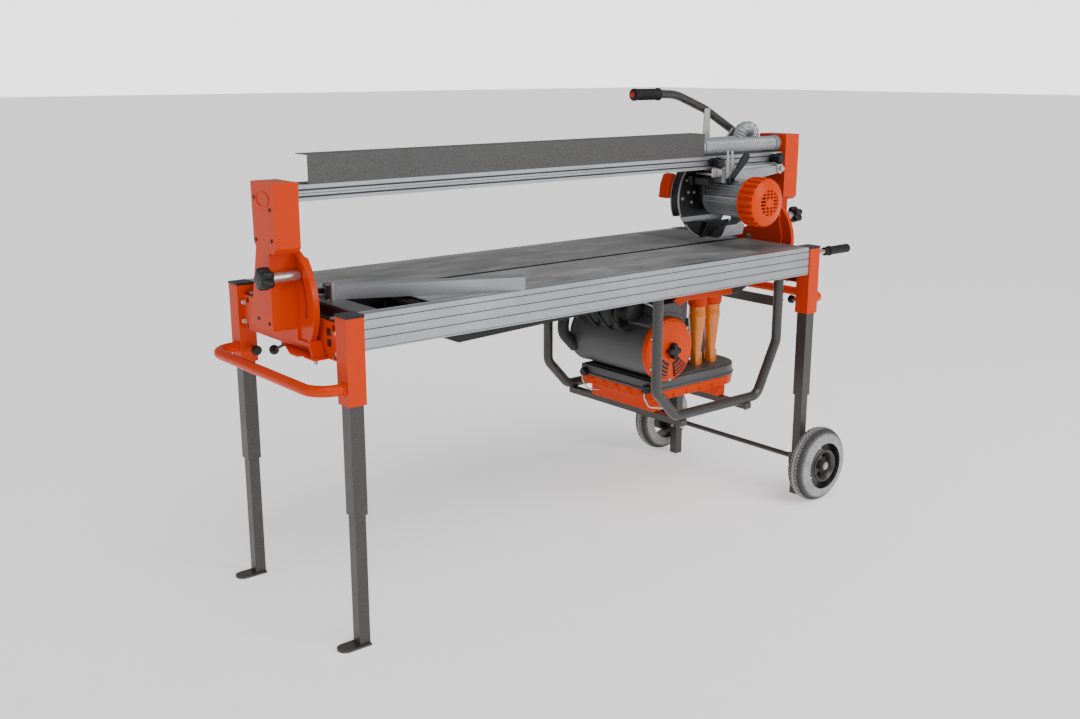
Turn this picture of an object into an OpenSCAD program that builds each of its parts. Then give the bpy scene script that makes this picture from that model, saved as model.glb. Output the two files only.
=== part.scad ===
// Rail tile saw on a wheeled stand, with its dust collector slung under the table.
// X runs along the cut, +Y is the far side, +Z is up and the floor is z = 0.

/* [Table] */
// Height of the table top above the floor
table_z = 880; // [840:1:920]
// Half depth of the table, over the aprons
table_y = 318; // [300:1:330]
// Half length of the aprons
apron_x = 863; // [840:1:864]
// Height of the aprons
apron_h = 92; // [80:1:110]
// Width of the blade slot
slot_w = 30; // [26:1:36]
/* [Stand] */
// Half distance between leg centres, along the saw
leg_x = 890; // [889:1:900]
// Half distance between leg centres, across the saw
leg_y = 295; // [290:1:300]
// Outside width of the square leg sockets
socket_w = 52; // [50:1:56]
// Outside width of the upper leg tubes
leg_w = 40; // [36:1:42]
// Radius of the pneumatic tyres
tyre_r = 130; // [120:1:130]
// Width of the pneumatic tyres
tyre_w = 78; // [60:1:84]
/* [Head] */
// Radius of the diamond blade
blade_r = 127; // [100:1:127]
// Height of the blade centre with the head up
head_z = 1040; // [1036:1:1044]
// Blade centre along the saw with the carriage parked
head_x = 665; // [640:1:680]
/* [Rail] */
// Underside of the rail
rail_z = 1142; // [1140:1:1160]
// Height of the rail
rail_h = 41; // [36:1:50]
/* [Hidden] */
$fn = 64;
orange = "#e8481a";
steel = "#c4c6c9";
grey = "#4f4d4c";
black = "#1c1c1c";
// Everything is laid out from the table's centre, which stands here in the part's frame
mid_x = -72.5;
gap = 0.5;
socket_bottom = 652;
socket_top = 874;
lower_leg_w = 32;
lower_leg_top = 620;
upper_leg_bottom = 361;
upper_leg_top = 866;
wheel_y = 375;
axle_r = 9;
slot_y = -15;
rail_y0 = -130;
rail_y1 = -50;
rail_x = 930;
post_x0 = 930;
post_x1 = 1000;
post_z = 1192;
quadrant_x0 = 916;
quadrant_x1 = 960;
bracket_x0 = 902;
bracket_x1 = 915;
beam_x0 = 894;
beam_x1 = 902;
clamp_y = -120;
clamp_z = 958;
lift_y = 236;
lift_z = 838;
lift_r = 9;
clamp_r = norm([clamp_y - slot_y, clamp_z - table_z]);
clamp_angle = atan2(clamp_z - table_z, clamp_y - slot_y);
tilt_range = 45;
pin_r = 12;
pivot_x = 878;
pivot_z = 1131;
cage_y = 262;
cage_r = 16.5;
cage_wall = 2.5;
hose_r = 25;
hose_y = -97;
hose_z = rail_z + rail_h + hose_r + 3;
return_y = -23;
handle_y = 24;

module on_frame() translate([mid_x, 0, 0]) children();

// A box given by its low and high corners
module block(low, high) translate(low) cube(high - low);

// A rod between two values along X
module rod_x(x0, x1, y, z, r) translate([x0, y, z]) rotate([0, 90, 0]) cylinder(h = x1 - x0, r = r);

// A rod between two values along Y
module rod_y(y0, y1, x, z, r) translate([x, y1, z]) rotate([90, 0, 0]) cylinder(h = y1 - y0, r = r);

// An outline in Y and Z, drawn out along X
module along_x(x0, x1) translate([x0, 0, 0]) rotate([90, 0, 90]) linear_extrude(x1 - x0) children();

// An outline in X and Z, drawn out along Y
module along_y(y0, y1) translate([0, y1, 0]) rotate([90, 0, 0]) linear_extrude(y1 - y0) children();

function heading(a, b) = atan2(b.y - a.y, b.x - a.x);
function turn(a, b, c) = (heading(b, c) - heading(a, b) + 540) % 360 - 180;
function unit(a, b) = (b - a) / norm(b - a);

// A round tube along a flat path, bent with one radius at every corner. A joint above 0 keeps
// the straight lengths that far from the bends, as separate solids
module bent_tube(path, r, wall, bend, joint = 0) {
  module ring() difference() {
    circle(r);
    if (wall > 0) circle(r - wall);
  }
  last = len(path) - 1;
  trim = [for (i = [0 : last]) i == 0 || i == last ? 0
    : bend * tan(abs(turn(path[i - 1], path[i], path[i + 1])) / 2)];
  for (i = [0 : last - 1]) {
    a = path[i] + unit(path[i], path[i + 1]) * trim[i];
    b = path[i + 1] - unit(path[i], path[i + 1]) * trim[i + 1];
    translate([a.x, a.y, 0]) rotate([0, 90, heading(a, b)]) translate([0, 0, joint])
      linear_extrude(norm(b - a) - 2 * joint) ring();
  }
  for (i = [1 : 1 : last - 1]) {
    sweep = turn(path[i - 1], path[i], path[i + 1]);
    side = sweep > 0 ? 1 : -1;
    h = heading(path[i - 1], path[i]);
    a = path[i] - unit(path[i - 1], path[i]) * trim[i];
    centre = a + side * bend * [-sin(h), cos(h)];
    start = h - side * 90 + (side > 0 ? 0 : sweep);
    translate([centre.x, centre.y, 0]) rotate([0, 0, start])
      rotate_extrude(angle = abs(sweep)) translate([bend, 0]) ring();
  }
}

// Both sides of the saw, mirrored about the table's centre line
module left_and_right() {
  children();
  mirror([1, 0, 0]) children();
}

// Side extrusion of the table, with its three outer grooves
module apron() color(steel) along_x(-apron_x, apron_x)
  difference() {
    translate([table_y - 32, table_z - apron_h]) square([32, apron_h]);
    translate([table_y - 33, table_z - apron_h + 5]) square([27, apron_h - 11]);
    for (level = [16, 40, 64]) translate([table_y - 1.5, table_z - level]) square([2, 5]);
  }
module front_apron() on_frame() mirror([0, 1, 0]) apron();
module rear_apron() on_frame() apron();

module end_beams() on_frame() color(orange) left_and_right() difference() {
  union() {
    block([beam_x0, -leg_y + socket_w / 2, 753], [beam_x1, leg_y - socket_w / 2, 850]);
    block([beam_x0 - 22, -leg_y + socket_w / 2, 753], [beam_x0, leg_y - socket_w / 2, 758]);
  }
  for (side = [-1, 1]) rod_x(beam_x0 - 1, beam_x1 + 1, side * lift_y, lift_z, lift_r + gap);
}

// Bolts of the end beams, and the clamp screws of the leg sockets
module frame_screws() on_frame() color("silver") left_and_right() for (side = [-1, 1]) {
  for (level = [775, 828]) rod_x(beam_x1, beam_x1 + 5, side * 258, level, 6);
  scale([1, side, 1]) rod_y(leg_y - socket_w / 2 - 22, leg_y - socket_w / 2, leg_x - 8, 690, 7);
}

module socket(y) color(orange) difference() {
  block([leg_x - socket_w / 2, y - socket_w / 2, socket_bottom],
        [leg_x + socket_w / 2, y + socket_w / 2, socket_top]);
  block([leg_x - leg_w / 2 - gap, y - leg_w / 2 - gap, socket_bottom - 1],
        [leg_x + leg_w / 2 + gap, y + leg_w / 2 + gap, socket_top + 1]);
}
module leg_sockets() on_frame() left_and_right() for (side = [-1, 1]) socket(side * leg_y);

module socket_caps() on_frame() color(black) left_and_right() for (side = [-1, 1])
  block([leg_x - 27, side * leg_y - 27, socket_top], [leg_x + 27, side * leg_y + 27, socket_top + 7]);

// Bent grab tube between the two sockets of one end
module carry_handles() on_frame() left_and_right() color(orange) translate([0, 0, 695])
  bent_tube([[leg_x + socket_w / 2, -leg_y], [990, -leg_y], [990, leg_y], [leg_x + socket_w / 2, leg_y]],
            15, 2, 62);

board_y = table_y - 32.5;
board_t = 3;
module front_board() on_frame() color("#8d8f91")
  block([-640, -board_y, table_z - board_t], [apron_x, slot_y - slot_w / 2, table_z]);
module rear_boards() on_frame() color("#86888a") {
  block([-820, slot_y + slot_w / 2, table_z - board_t], [-271, board_y, table_z]);
  block([-269.5, slot_y + slot_w / 2, table_z - board_t], [apron_x, board_y, table_z]);
}
module end_plate() on_frame() color("#a8a9ab") {
  block([-apron_x, -board_y, table_z - 4], [-800, slot_y - slot_w / 2, table_z]);
  block([-apron_x, slot_y - slot_w / 2, table_z - 4], [-821, board_y, table_z]);
}

// Trough under the slot that leads the dust to the collector, deeper at its left end
module dust_chute() on_frame() color(black) difference() {
  along_y(-205, 150)
    polygon([[-600, 780], [-500, 735], [240, 762], [860, 762], [860, 876], [-600, 876]]);
  along_y(-203, 148)
    polygon([[-598, 781.5], [-499, 737], [240, 764], [858, 764], [858, 880], [-598, 880]]);
}

module upper_legs() on_frame() color(grey) left_and_right() for (side = [-1, 1]) difference() {
  block([leg_x - leg_w / 2, side * leg_y - leg_w / 2, upper_leg_bottom],
        [leg_x + leg_w / 2, side * leg_y + leg_w / 2, upper_leg_top]);
  block([leg_x - lower_leg_w / 2 - gap, side * leg_y - lower_leg_w / 2 - gap, upper_leg_bottom - 1],
        [leg_x + lower_leg_w / 2 + gap, side * leg_y + lower_leg_w / 2 + gap, upper_leg_top + 1]);
}

// Fixed ear of one end: it carries the tilt pivot and the clamp screw
module pivot_brackets() on_frame() left_and_right() color(orange) difference() {
  union() {
    block([bracket_x0, -150, 760], [bracket_x0 + 5, 70, 850]);
    along_x(bracket_x0 + 5, bracket_x1) {
      polygon([[-150, 760], [70, 760], [70, 850], [20, 905], [-50, 905], [-100, 975], [-140, 975],
               [-160, 900]]);
      translate([clamp_y, clamp_z]) circle(22);
    }
  }
  rod_x(bracket_x0 + 5, bracket_x1 + 1, slot_y, table_z, pin_r);
  rod_x(bracket_x0 - 1, bracket_x1 + 1, clamp_y, clamp_z, 6.5);
}
module pivot_pins() on_frame() color("silver") left_and_right() {
  rod_x(bracket_x0 + 5, quadrant_x1 + 2, slot_y, table_z, pin_r);
}

cage_left = 210;
cage_right = 780;
cage_bottom = 386;
cage_path = [[cage_left, table_z - apron_h], [cage_left, 482], [300, cage_bottom],
             [690, cage_bottom], [cage_right, 565], [cage_right, table_z - apron_h]];
module cage_tube(y) color(grey) translate([0, y, 0]) rotate([90, 0, 0])
  bent_tube(cage_path, cage_r, cage_wall, 45, 0.02);
module cage_front_tube() on_frame() cage_tube(-cage_y);
module cage_rear_tube() on_frame() cage_tube(cage_y);
// Cross tubes sit under the bent tubes' bottom runs
module cage_cross_tubes() on_frame() color(grey) for (x = [330, 640])
  block([x - 14, -cage_y - 10, cage_bottom - cage_r - 20], [x + 14, cage_y + 10, cage_bottom - cage_r]);
module cage_strap() on_frame() color(grey) translate([cage_right + cage_r, -cage_y, 675])
  cube([5, 2 * cage_y, 34]);

vac_x0 = 285;
vac_x1 = 735;
vac_y0 = -176;
vac_y1 = 176;
vac_z = 414;
drum_x = 345;
drum_z = 582;
drum_r = 100;
// Deck outline: square at the left, round at the right
module deck_outline(grow) {
  translate([vac_x0 - grow, vac_y0 - grow]) square([300 + grow, vac_y1 - vac_y0 + 2 * grow]);
  for (side = [-1, 1]) translate([vac_x1 - 116, side * 60]) circle(116 + grow);
  translate([vac_x0 + 250, -176 - grow]) square([84, 352 + 2 * grow]);
  translate([vac_x0 + 300, -60]) square([vac_x1 - vac_x0 - 300 + grow, 120]);
}
// Base and deck are shells, open below; the base's two feet reach up to its top
module vacuum_base() on_frame() color(orange) {
  difference() {
    translate([0, 0, vac_z]) linear_extrude(32) deck_outline(0);
    translate([0, 0, vac_z - 1]) linear_extrude(29) deck_outline(-4);
  }
  for (x = [330, 640]) block([x - 18, -150, cage_bottom - cage_r], [x + 18, 150, vac_z + 29]);
}
module vacuum_deck() on_frame() color(grey) difference() {
  translate([0, 0, vac_z + 32]) linear_extrude(38) deck_outline(3);
  translate([0, 0, vac_z + 31]) linear_extrude(29) deck_outline(-1);
  rod_y(-166, 200, drum_x, drum_z, drum_r + gap);
  rod_y(-200, -165, drum_x, drum_z, drum_r + 5 + gap);
}
module vacuum_drum() on_frame() color(black) difference() {
  rod_y(-165, 190, drum_x, drum_z, drum_r);
  rod_y(-166, 186, drum_x, drum_z, drum_r - 4);
}
module vacuum_front_cover() on_frame() color(orange) difference() {
  union() {
    rod_y(-185, -166, drum_x, drum_z, drum_r + 5);
    rod_y(-192, -185, drum_x, drum_z, drum_r - 8);
  }
  rod_y(-193, -184, drum_x, drum_z, 8.05);
  for (a = [-25, 95, 215]) translate([drum_x + 84 * cos(a), -184, drum_z + 84 * sin(a)])
    rotate([90, 0, 0]) cylinder(h = 9, r = 3);
}
module cyclone_manifold() on_frame() color(orange) {
  block([drum_x - 30, -150, 723], [675, -40, 761]);
  for (x = [560, 632]) translate([x, -100, 700]) cylinder(h = 23, r = 33);
}
module cyclone_cones() on_frame() color([0.95, 0.5, 0.05, 0.8]) for (x = [560, 632]) {
  translate([x, -100, 640]) cylinder(h = 60, r = 29);
  translate([x, -100, 484]) cylinder(h = 156, r1 = 16, r2 = 29);
}
// Blower on top of the drum, with the neck that leads to the cyclones
module vacuum_motor() on_frame() color(black) difference() {
  union() {
    block([228, -60, 640], [304, 150, 748]);
    rod_y(-95, -60, 266, 708, 36);
    block([304, -150, drum_z + 70], [drum_x + 50, 40, 722]);
  }
  rod_y(-170, 200, drum_x, drum_z, drum_r + gap);
}
// Dust hose from the cyclones to the right-hand end
module vacuum_hose() on_frame() color("#3a3a3a") rod_x(676, 870, -90, 734, 25);
module filter_knob() on_frame() color(black) {
  rod_y(-216, -193, drum_x, drum_z, 17);
  rod_y(-193, -185.5, drum_x, drum_z, 8);
  for (a = [0 : 90 : 270]) translate([drum_x + 17 * cos(a + 45), -196, drum_z + 17 * sin(a + 45)])
    rotate([90, 0, 0]) cylinder(h = 18, r = 9);
}

foot_t = 6;
module lower_leg(y, bottom) color(grey) difference() {
  block([leg_x - lower_leg_w / 2, y - lower_leg_w / 2, bottom],
        [leg_x + lower_leg_w / 2, y + lower_leg_w / 2, lower_leg_top]);
  block([leg_x - lower_leg_w / 2 + 2.5, y - lower_leg_w / 2 + 2.5, bottom + 1],
        [leg_x + lower_leg_w / 2 - 2.5, y + lower_leg_w / 2 - 2.5, lower_leg_top + 1]);
}
module foot(y) color(grey) {
  block([leg_x - lower_leg_w / 2, y - 24, 0], [leg_x + 48, y + 24, foot_t]);
  translate([leg_x + 48, y, 0]) cylinder(h = foot_t, r = 24);
}
module footed_leg(y) mirror([1, 0, 0]) {
  lower_leg(y, foot_t);
  foot(y);
}
module front_left_lower_leg() on_frame() footed_leg(-leg_y);
module rear_left_lower_leg() on_frame() footed_leg(leg_y);
module right_lower_legs() on_frame() color(grey) for (side = [-1, 1]) {
  difference() {
    lower_leg(side * leg_y, 0);
    rod_y(side * leg_y - 20, side * leg_y + 20, leg_x, tyre_r, axle_r);
  }
}
module axle() on_frame() color(grey) rod_y(-wheel_y - 42, wheel_y + 42, leg_x, tyre_r, axle_r);

rim_r = 52;
module tyre(y) color("#8c8c8c") translate([leg_x, y, tyre_r]) rotate([90, 0, 0]) rotate_extrude()
  intersection() {
    translate([rim_r, -tyre_w / 2]) square([tyre_r - rim_r, tyre_w]);
    translate([90, 0]) circle(41);
    translate([rim_r - 74, 0]) circle(tyre_r - rim_r + 74);
  }
module rim(y) color(grey) translate([leg_x, y, tyre_r]) rotate([90, 0, 0]) difference() {
  union() {
    translate([0, 0, -28]) cylinder(h = 56, r = rim_r);
    translate([0, 0, -37]) cylinder(h = 74, r = 17);
  }
  for (z = [-29, 9]) translate([0, 0, z]) difference() {
    cylinder(h = 20, r = 47);
    translate([0, 0, -1]) cylinder(h = 22, r = 17);
  }
  translate([0, 0, -40]) cylinder(h = 80, r = axle_r + 0.05);
}
module front_tyre() on_frame() tyre(-wheel_y);
module rear_tyre() on_frame() tyre(wheel_y);
module front_rim() on_frame() rim(-wheel_y);
module rear_rim() on_frame() rim(wheel_y);

// Wheelbarrow handles that pull out of the right end
module lift_handle(y) {
  color("silver") rod_x(805, 1050, y, lift_z, lift_r);
  color(black) rod_x(1050, 1185, y, lift_z, 16);
}
module front_lift_handle() on_frame() lift_handle(-lift_y);
module rear_lift_handle() on_frame() lift_handle(lift_y);

// Lock lever with a ball end, hung under the left end beam
module ball_lever() on_frame() color(black) translate([-883, 60, 0]) {
  translate([0, 0, 736]) cylinder(h = 16.5, r = 11);
  translate([0, 6, 742]) rotate([-115, 0, 0]) cylinder(h = 66, r = 4);
  translate([0, 69, 712]) sphere(14);
}

module rail() on_frame() color(steel) along_x(-rail_x, rail_x) difference() {
  translate([rail_y0, rail_z]) square([rail_y1 - rail_y0, rail_h]);
  translate([rail_y0 + 5, rail_z + 5]) square([rail_y1 - rail_y0 - 10, rail_h - 10]);
  for (level = [9, 26]) translate([rail_y0 - 1, rail_z + level]) square([4, 5]);
}

// Post and quadrant of one end, in one casting; top is the height of its box
body_y0 = -105;
module post(top) color(orange) difference() {
  union() {
    along_x(post_x0, post_x1)
      polygon([[-142, 1030], [-132, 1018], [-45, 1018], [-28, 1040], [-25, top], [-142, top]]);
    along_x(quadrant_x0, post_x1)
      polygon([[body_y0, 1040], [body_y0, 818], [20, 818], [-5, 900], [-40, 1040]]);
    along_x(quadrant_x0, quadrant_x0 + 16) intersection() {
      union() {
        translate([slot_y - 30, table_z]) circle(152);
        translate([slot_y, table_z]) circle(30);
      }
      polygon([[-110, 1060], [-300, 1000], [-300, 780], [30, 780], [30, 905], [-60, 940]]);
    }
  }
  // recess of the quadrant's outer side, inside its rim
  along_x(quadrant_x0 + 10, quadrant_x0 + 17) intersection() {
    translate([slot_y - 30, table_z]) circle(142);
    translate([body_y0 - 200, 790]) square([199, 226]);
  }
  rod_x(quadrant_x0 - 1, 963, slot_y, table_z, pin_r + 0.05);
  // curved slot for the clamp screw
  along_x(quadrant_x0 - 1, quadrant_x0 + 11) intersection() {
    translate([slot_y, table_z]) difference() {
      circle(clamp_r + 7);
      circle(clamp_r - 7);
    }
    translate([slot_y, table_z]) polygon([[0, 0],
      300 * [cos(clamp_angle - 5), sin(clamp_angle - 5)], 400 * [cos(160), sin(160)],
      300 * [cos(clamp_angle + tilt_range + 5), sin(clamp_angle + tilt_range + 5)]]);
  }
}
module left_post() on_frame() mirror([1, 0, 0]) post(post_z);
module right_post() on_frame() post(1241);

tray_x0 = -895;
tray_x1 = 537;
module hose_tray() on_frame() color(grey) along_x(tray_x0, tray_x1) {
  translate([rail_y0, rail_z + rail_h]) square([62, 2]);
  translate([rail_y0, rail_z + rail_h]) square([2, 74]);
  translate([rail_y0, rail_z + rail_h + 72]) square([62, 2]);
}
module rail_hose() on_frame() color("#b9bbbd") rod_x(560, post_x0, hose_y, hose_z, hose_r);

// Five-lobed knob, its clamp screw and the sleeve between them
module tilt_knob() {
  color("silver") rod_x(quadrant_x0 + 12, 1006, clamp_y, clamp_z, 13);
  color("silver") rod_x(bracket_x0 + 5.5, quadrant_x0 + 12, clamp_y, clamp_z, 6);
  color(black) rod_x(1006, 1040, clamp_y, clamp_z, 20);
  color(black) for (a = [0 : 72 : 288])
    rod_x(1008, 1038, clamp_y + 20 * cos(a), clamp_z + 20 * sin(a), 9);
}
module left_tilt_knob() on_frame() mirror([1, 0, 0]) tilt_knob();
module right_tilt_knob() on_frame() tilt_knob();

// Carriage: a plate in front of the rail, and a keeper under and behind it
module carriage_plate() on_frame() color(steel) {
  block([560, rail_y0 - 20, 1118], [905, rail_y0 - 14, rail_z + 3.5]);
  block([600, rail_y0 - 20, 1118], [880, rail_y1 + 14, 1124]);
  block([640, rail_y1 + 4, 1124], [700, rail_y1 + 10, rail_z + 20]);
  rod_y(rail_y0 - 36, rail_y0 - 20, pivot_x, pivot_z, 8);
}
module carriage_rollers() on_frame() color(black) for (x = [572, 872]) {
  rod_y(rail_y0 - 14, rail_y0 - 1, x, rail_z + 22, 15);
  rod_y(rail_y0 - 46, rail_y0 - 14, x, rail_z + 22, 18);
}
// Rigid return bend of the dust hose, carried by the carriage
module hose_return() on_frame() color("#b9bbbd") translate([0, 0, hose_z])
  bent_tube([[560, hose_y], [522, hose_y], [522, return_y], [780, return_y]], hose_r, 0, 36.9);

// Arm from the plunge pivot down to the motor
module pivot_arm() on_frame() color("#8b8d8f") difference() {
  union() {
    along_y(rail_y0 - 32, rail_y0 - 21) polygon([[600, 1098], [730, 1098], [890, 1118], [890, 1141],
      [866, 1141], [735, 1136], [600, 1136]]);
    block([610, rail_y0 - 32, 1098], [720, -60, 1112]);
    block([610, -60, 1072], [720, -52, 1112]);
  }
  rod_y(rail_y0 - 33, rail_y0 - 20, pivot_x, pivot_z, 8.05);
}
module motor_body() on_frame() color("#9fa1a3") difference() {
  union() {
    rod_y(-232, -60, head_x, head_z, 57);
    rod_y(-60, guard_y0, head_x, head_z, 30);
  }
  rod_y(-80, guard_y0 + 1, head_x, head_z, 15);
}
// Lock lever of the plunge, on the arm
module plunge_lever() on_frame() color(black) translate([622, 0, 1104]) {
  rod_y(rail_y0 - 46, rail_y0 - 32.5, 0, 0, 12);
  translate([0, rail_y0 - 46, 0]) rotate([0, 44, 0]) block([-8, 0, 0], [8, 10, 118]);
}
module head_hose() on_frame() color("#b9bbbd") translate([0, return_y, 0]) rotate([90, 0, 0])
  bent_tube([[780, hose_z], [826, hose_z], [826, hose_z + 52], [896, hose_z + 52], [896, 1188]],
            hose_r, 0, 25.5);
module fan_cover() on_frame() color(orange) difference() {
  union() {
    rod_y(-292, -233, head_x, head_z, 80);
    rod_y(-305, -292, head_x, head_z, 62);
  }
  rod_y(-300, -232, head_x, head_z, 56);
  for (x = [-24 : 12 : 24]) block([head_x + x - 3, -306, head_z - 38], [head_x + x + 3, -299, head_z + 38]);
}
guard_r = 140;
guard_y0 = slot_y - 18;
guard_y1 = slot_y + 18;
// Guard over the blade's upper part, with the duct of its dust port
module blade_guard() on_frame() color("#2b2b2b") {
  guard_shell();
  along_y(guard_y0 + 4, guard_y1) polygon([[800, 1060], [870, 1040], [920, 1130], [920, 1187],
    [872, 1187], [872, 1150], [790, 1098]]);
}
module guard_shell() difference() {
  along_y(guard_y0, guard_y1) intersection() {
    translate([head_x, head_z]) circle(guard_r);
    translate([head_x - 150, head_z - 62]) square([300, 300]);
  }
  along_y(guard_y0 + 3, guard_y1 - 3) union() {
    translate([head_x, head_z]) circle(guard_r - 6);
    translate([head_x - 134, head_z - 200]) square([268, 150]);
  }
  rod_y(guard_y0 - 1, guard_y0 + 4, head_x, head_z, 22);
}
module plunge_handle() on_frame() color(grey) {
  translate([0, handle_y, 0]) rotate([90, 0, 0])
    bent_tube([[840, 1256], [560, 1376], [478, 1378]], 14, 2, 120, 0.02);
  along_y(guard_y1, handle_y - 14.02) polygon([[676, 1060], [706, 1060], [852, 1234], [852, 1262],
    [820, 1262], [706, 1128], [706, 1322], [676, 1322]]);
}
module handle_grip() on_frame() color(black) difference() {
  rod_x(364, 477.5, handle_y, 1378, 18);
  rod_x(363, 376, handle_y, 1378, 9.5);
}
module start_button() on_frame() color("red") rod_x(358, 370, handle_y, 1378, 9);
// Lower guard with its deflector, lifted by the table as the head plunges
module lower_guard() on_frame() color(steel) {
  along_y(guard_y0 - 4, guard_y0 - 1) intersection() {
    translate([head_x, head_z]) circle(guard_r);
    translate([head_x - 150, 904]) square([300, 52]);
  }
  along_y(-90, guard_y0 - 4) polygon([[664, 904], [676, 904], [790, 950], [778, 950]]);
}
module blade() on_frame() {
  color("#8a8d90") rod_y(slot_y - 1.2, slot_y + 1.2, head_x, head_z, blade_r);
  color("#5c5f62") rod_y(slot_y - 9, slot_y - 1.2, head_x, head_z, 24);
  color("#5c5f62") rod_y(slot_y + 1.2, slot_y + 9, head_x, head_z, 24);
  color("#5c5f62") rod_y(-79, slot_y - 9, head_x, head_z, 14);
}
// Angle fence with its clamp at the left end
module fence() on_frame() translate([-828, -108, table_z + 0.4]) rotate([0, 0, -24.5]) {
  color(steel) difference() {
    cube([515, 42, 36]);
    translate([-1, 3, 3]) cube([517, 36, 30]);
  }
  color(black) block([-14, -3, 0], [0, 45, 40]);
  color(black) cylinder(h = 46, r = 8);
}

front_apron();
rear_apron();
end_beams();
frame_screws();
leg_sockets();
socket_caps();
carry_handles();
front_board();
rear_boards();
end_plate();
dust_chute();
upper_legs();
pivot_brackets();
pivot_pins();
cage_front_tube();
cage_rear_tube();
cage_cross_tubes();
cage_strap();
vacuum_base();
vacuum_deck();
vacuum_drum();
vacuum_front_cover();
cyclone_manifold();
cyclone_cones();
vacuum_motor();
vacuum_hose();
filter_knob();
front_left_lower_leg();
rear_left_lower_leg();
right_lower_legs();
axle();
front_tyre();
front_rim();
rear_tyre();
rear_rim();
front_lift_handle();
rear_lift_handle();
ball_lever();
rail();
left_post();
right_post();
hose_tray();
rail_hose();
left_tilt_knob();
right_tilt_knob();
carriage_plate();
carriage_rollers();
hose_return();
pivot_arm();
plunge_lever();
motor_body();
fan_cover();
blade_guard();
head_hose();
plunge_handle();
handle_grip();
start_button();
lower_guard();
blade();
fence();
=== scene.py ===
"""Looks of the rail tile saw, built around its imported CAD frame.

Lengths are metres. Positions are written in millimetres from the table's centre on the floor, the
way the saw is dimensioned, and at() turns them into metres in the frame.
"""

import math

import bmesh
import bpy
from mathutils import Matrix, Vector


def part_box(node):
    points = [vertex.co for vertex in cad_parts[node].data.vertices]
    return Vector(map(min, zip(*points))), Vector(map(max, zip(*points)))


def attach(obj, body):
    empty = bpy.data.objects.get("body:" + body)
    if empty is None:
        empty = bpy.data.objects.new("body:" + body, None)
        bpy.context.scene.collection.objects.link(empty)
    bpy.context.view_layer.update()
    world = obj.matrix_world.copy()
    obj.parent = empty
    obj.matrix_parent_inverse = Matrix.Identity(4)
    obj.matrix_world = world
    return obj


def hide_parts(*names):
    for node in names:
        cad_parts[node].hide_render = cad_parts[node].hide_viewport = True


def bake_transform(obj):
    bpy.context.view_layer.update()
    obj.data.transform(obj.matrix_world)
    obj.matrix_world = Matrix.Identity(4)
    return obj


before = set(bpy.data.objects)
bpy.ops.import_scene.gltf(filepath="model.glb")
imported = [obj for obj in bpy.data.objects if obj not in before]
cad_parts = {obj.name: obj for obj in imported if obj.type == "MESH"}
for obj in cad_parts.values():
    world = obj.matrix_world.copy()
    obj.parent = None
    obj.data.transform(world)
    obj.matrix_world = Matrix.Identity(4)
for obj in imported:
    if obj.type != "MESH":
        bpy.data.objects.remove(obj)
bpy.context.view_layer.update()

MM = 0.001
_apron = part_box("front_apron")
MID_X = (_apron[0].x + _apron[1].x) / 2
TABLE_Z = _apron[1].z / MM


def at(x, y, z):
    """A point given in millimetres from the table's centre, in the frame's metres."""
    return Vector((MID_X + x * MM, y * MM, z * MM))


def cad(node):
    """A CAD node's low and high corners, in millimetres from the table's centre."""
    low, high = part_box(node)
    back = lambda p: Vector(((p.x - MID_X) / MM, p.y / MM, p.z / MM))
    return back(low), back(high)


# ---------------------------------------------------------------- camera, light and floor


def add_camera():
    data = bpy.data.cameras.new("camera")
    data.lens = 39.47
    data.sensor_width = 36.0
    data.clip_end = 120
    camera = bpy.data.objects.new("camera", data)
    camera.location = at(-2333, -2775, 1470)
    camera.rotation_euler = (math.radians(76.05), 0, -0.690)
    bpy.context.scene.collection.objects.link(camera)
    bpy.context.scene.camera = camera


def add_area(name, place, target, size, power):
    data = bpy.data.lights.new(name, "AREA")
    data.shape = "SQUARE"
    data.size = size
    data.energy = power
    light = bpy.data.objects.new(name, data)
    light.location = place
    light.rotation_euler = (Vector(target) - Vector(place)).to_track_quat("-Z", "Y").to_euler()
    bpy.context.scene.collection.objects.link(light)


def add_sun(name, heading, strength, softness):
    data = bpy.data.lights.new(name, "SUN")
    data.energy = strength
    data.angle = math.radians(softness)
    light = bpy.data.objects.new(name, data)
    light.rotation_euler = Vector(heading).to_track_quat("-Z", "Y").to_euler()
    bpy.context.scene.collection.objects.link(light)


def add_studio():
    world = bpy.data.worlds.new("studio")
    world.use_nodes = True
    sky = world.node_tree.nodes["Background"]
    sky.inputs["Color"].default_value = (1, 1, 1, 1)
    tree = world.node_tree
    path = tree.nodes.new("ShaderNodeLightPath")
    lit = spread(tree, path.outputs["Is Camera Ray"], 0.36, 2.6, 0.0, 1.0)
    tree.links.new(lit, sky.inputs["Strength"])
    bpy.context.scene.world = world
    middle = (0, 0, 0.8)
    add_sun("sky_light", (0.10, 0.75, -1.0), 1.5, 40)
    add_area("key", (2.0, -4.6, 2.6), middle, 2.0, 90)
    add_area("fill", (-4.6, -1.0, 2.0), middle, 2.4, 14)
    bm = bmesh.new()
    bmesh.ops.create_grid(bm, x_segments=1, y_segments=1, size=58)
    mesh = bpy.data.meshes.new("floor")
    bm.to_mesh(mesh)
    bm.free()
    floor = bpy.data.objects.new("floor", mesh)
    bpy.context.scene.collection.objects.link(floor)
    floor.location.z = -0.0005
    mesh.materials.append(MATERIAL["floor"])


# ---------------------------------------------------------------- materials

MATERIAL = {}


def shader(name):
    """A new node material: its tree, its Principled shader and its object coordinates."""
    material = bpy.data.materials.new(name)
    material.use_nodes = True
    tree = material.node_tree
    coords = tree.nodes.new("ShaderNodeTexCoord")
    MATERIAL[name] = material
    return tree, tree.nodes["Principled BSDF"], coords.outputs["Object"]


def stretched(tree, source, scale):
    mapping = tree.nodes.new("ShaderNodeMapping")
    mapping.inputs["Scale"].default_value = scale
    tree.links.new(source, mapping.inputs["Vector"])
    return mapping.outputs["Vector"]


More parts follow.
